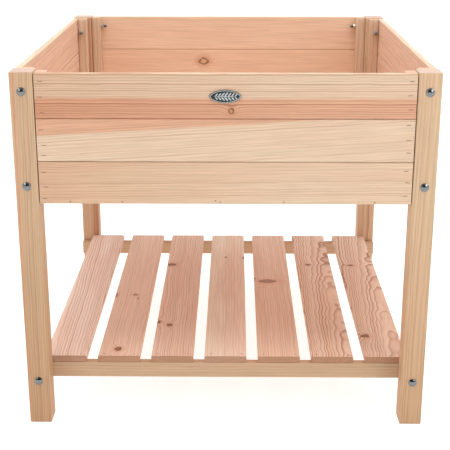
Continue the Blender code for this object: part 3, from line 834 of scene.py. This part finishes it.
BADGE_EDGE = 0.0007            # blackened edge outside the bright rim
BADGE_RIM = 0.0009
BADGE_RELIEF = 0.0004
BADGE_ROUND = 0.6              # 0 is two plain arcs that meet in sharp tips, 1 is an ellipse
STEM_SHARE = 0.72              # of the badge's length
STEM_HALF = 0.0006
LEAF_LONG = 0.0049             # half sizes of the middle leaves
LEAF_TALL = 0.0014
LEAF_STEP = 0.205              # from leaf to leaf, as a share of half the badge
LEAF_OUT = 0.0044              # a leaf's middle, from the stem
LEAF_TURN = 48.0
LEAF_PAIRS = 7

# zinc alloy, stamped: the ground is chemically blackened and half matt, and what stands up is
# polished back to bright metal, a little worn in patches
badge_dark = bpy.data.materials.new("blackened_stamped_zinc")
badge_bright = bpy.data.materials.new("polished_stamped_zinc")
for metal, dark, light, rough in ((badge_dark, "#26292A", "#4A4F50", 0.42),
                                  (badge_bright, "#A9AEAF", "#DDE0E0", 0.28)):
    metal.use_nodes = True
    skin = metal.node_tree.nodes["Principled BSDF"]
    skin.inputs["Metallic"].default_value = 0.9
    skin.inputs["Roughness"].default_value = rough
    spot = add(metal, "TexCoord").outputs["Object"]
    wear = add(metal, "TexNoise", {"Vector": spot, "Scale": 480.0, "Detail": 4.0}).outputs[0]
    wear = add(metal, "Mix", {0: wear, 6: linear(dark), 7: linear(light)}, data_type="RGBA").outputs[2]
    metal.node_tree.links.new(wear, skin.inputs["Base Color"])

low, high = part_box("badge_plate")
badge_middle = (low + high) / 2
half_long, half_tall = (high.x - low.x) / 2, (high.z - low.z) / 2


def pointed_oval(name, middle, long, tall, thick, turn=0.0, points=48):
    """A flat pointed oval in the plane of the front: a circle whose rim is drawn in at the ends."""
    bpy.ops.mesh.primitive_circle_add(vertices=points, radius=1.0, fill_type="NGON")
    piece = bpy.context.object
    piece.name = piece.data.name = name
    bend = (long ** 2 + tall ** 2) / (2 * tall)
    for vert in piece.data.vertices:
        across = long * vert.co.x
        arc = max(sqrt(bend ** 2 - across ** 2) - (bend - tall), 0.0)
        rise = BADGE_ROUND * tall * abs(vert.co.y) + (1 - BADGE_ROUND) * arc
        vert.co = (across, rise if vert.co.y >= 0 else -rise, 0.0)
    bpy.ops.object.mode_set(mode="EDIT")
    bpy.ops.mesh.select_all(action="SELECT")
    bpy.ops.mesh.extrude_region_move(TRANSFORM_OT_translate={"value": (0.0, 0.0, thick)})
    bpy.ops.mesh.select_all(action="SELECT")
    bpy.ops.mesh.normals_make_consistent(inside=False)
    bpy.ops.object.mode_set(mode="OBJECT")
    piece.rotation_euler = (pi / 2, turn, 0.0)
    piece.location = middle
    bpy.ops.object.transform_apply(location=True, rotation=True, scale=True)
    return piece


plate = pointed_oval("badge_plate_stamping", (badge_middle.x, high.y, badge_middle.z), half_long,
                     half_tall, high.y - low.y - BADGE_RELIEF)
plate.data.materials.append(badge_dark)
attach(plate, "root")
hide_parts("badge_plate")

ground = low.y + BADGE_RELIEF
rim = pointed_oval("badge_rim", (badge_middle.x, ground, badge_middle.z),
                   half_long - 1.5 * BADGE_EDGE, half_tall - BADGE_EDGE, BADGE_RELIEF)
inside = pointed_oval("badge_rim_inside", (badge_middle.x, ground + BADGE_RELIEF, badge_middle.z),
                      half_long - 1.5 * (BADGE_EDGE + BADGE_RIM),
                      half_tall - BADGE_EDGE - BADGE_RIM, 3 * BADGE_RELIEF)
only(rim)
opening = rim.modifiers.new("opening", "BOOLEAN")
opening.operation = "DIFFERENCE"
opening.object = inside
bpy.ops.object.modifier_apply(modifier=opening.name)
bpy.data.objects.remove(inside, do_unlink=True)
rim.data.materials.append(badge_bright)
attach(rim, "root")

# the sprig: a stem, and pairs of leaves that grow longer towards the middle of the plate
leaves = [(0.0, 0.0, half_long * STEM_SHARE, STEM_HALF, 0.0)]
for step in range(-(LEAF_PAIRS // 2), LEAF_PAIRS // 2 + 1):
    for way in (-1, 1):
        size = 1 - 0.09 * abs(step)
        leaves.append((step * half_long * LEAF_STEP + 0.002, way * LEAF_OUT * size,
                       LEAF_LONG * size, LEAF_TALL * size, way * -LEAF_TURN))
for number, (x, z, long, tall, turn) in enumerate(leaves, start=1):
    leaf = pointed_oval(f"badge_leaf_{number}", (badge_middle.x + x, ground, badge_middle.z + z),
                        long, tall, BADGE_RELIEF, radians(turn), 20)
    leaf.data.materials.append(badge_bright)
    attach(leaf, "root")


# ---- Studio -------------------------------------------------------------------------------------
# A plain pale floor under soft light: a large lamp overhead towards the front, weaker ones on both
# sides, and a pale surround.  The camera looks down into the box from in front.

bpy.ops.mesh.primitive_circle_add(vertices=96, radius=30.0, fill_type="NGON",
                                  location=(0.0, 0.0, -0.0005))
floor = bpy.context.object
floor.name = "studio_floor"

# white acrylic sheet lit from below, as in a packshot studio: matt, and almost free of shadow
acrylic = bpy.data.materials.new("backlit_white_acrylic")
acrylic.use_nodes = True
skin = acrylic.node_tree.nodes["Principled BSDF"]
skin.inputs["Base Color"].default_value = linear("#BCBCBB")
skin.inputs["Roughness"].default_value = 0.9
skin.inputs["Emission Color"].default_value = linear("#FFFFFF")
skin.inputs["Emission Strength"].default_value = 0.7
floor.data.materials.append(acrylic)


def lamp(name, place, aim, size, power):
    """A square soft lamp that points at `aim`."""
    bpy.ops.object.light_add(type="AREA", location=place)
    light = bpy.context.object
    light.name = name
    light.data.size = size
    light.data.energy = power
    light.rotation_euler = (Vector(aim) - Vector(place)).to_track_quat("-Z", "Y").to_euler()


lamp("overhead_lamp", (0.0, -0.5, 3.2), (0.0, 0.0, 0.4), 2.4, 44.0)
lamp("left_lamp", (-1.7, -1.8, 1.5), (0.0, 0.0, 0.4), 0.8, 6.0)
lamp("right_lamp", (1.7, -1.8, 1.5), (0.0, 0.0, 0.4), 1.0, 13.0)

# the surround is white, but the room behind the camera is dark, and the bolt heads mirror it
surround = bpy.data.worlds.new("pale_surround")
bpy.context.scene.world = surround
surround.use_nodes = True
sky = surround.node_tree.nodes["Background"]
sky.inputs["Color"].default_value = linear("#FFFFFF")
toward = add(surround, "TexCoord").outputs["Generated"]
toward = add(surround, "VectorMath", {0: toward, 1: (0.0, -1.0, 0.0)}, operation="DOT_PRODUCT")
strength = add(surround, "MapRange", {"Value": toward.outputs["Value"], 1: 0.30, 2: 0.88, 3: 1.15,
                                      4: 0.06}, interpolation_type="SMOOTHSTEP").outputs[0]
surround.node_tree.links.new(strength, sky.inputs["Strength"])

CAMERA_PLACE = (0.017, -2.097, 1.035)
CAMERA_PITCH = 16.6            # degrees below the horizon
CAMERA_YAW = 0.587
CAMERA_LENS = 77.3             # mm, for a sensor 36 mm wide
CAMERA_SHIFT = -0.12           # keeps the object in the upper part of the frame
bpy.ops.object.camera_add(location=CAMERA_PLACE,
                          rotation=(radians(90.0 - CAMERA_PITCH), 0.0, radians(CAMERA_YAW)))
camera = bpy.context.object
camera.data.sensor_width = 36.0
camera.data.lens = CAMERA_LENS
camera.data.shift_y = CAMERA_SHIFT
bpy.context.scene.camera = camera
bpy.context.scene.view_settings.view_transform = "Standard"
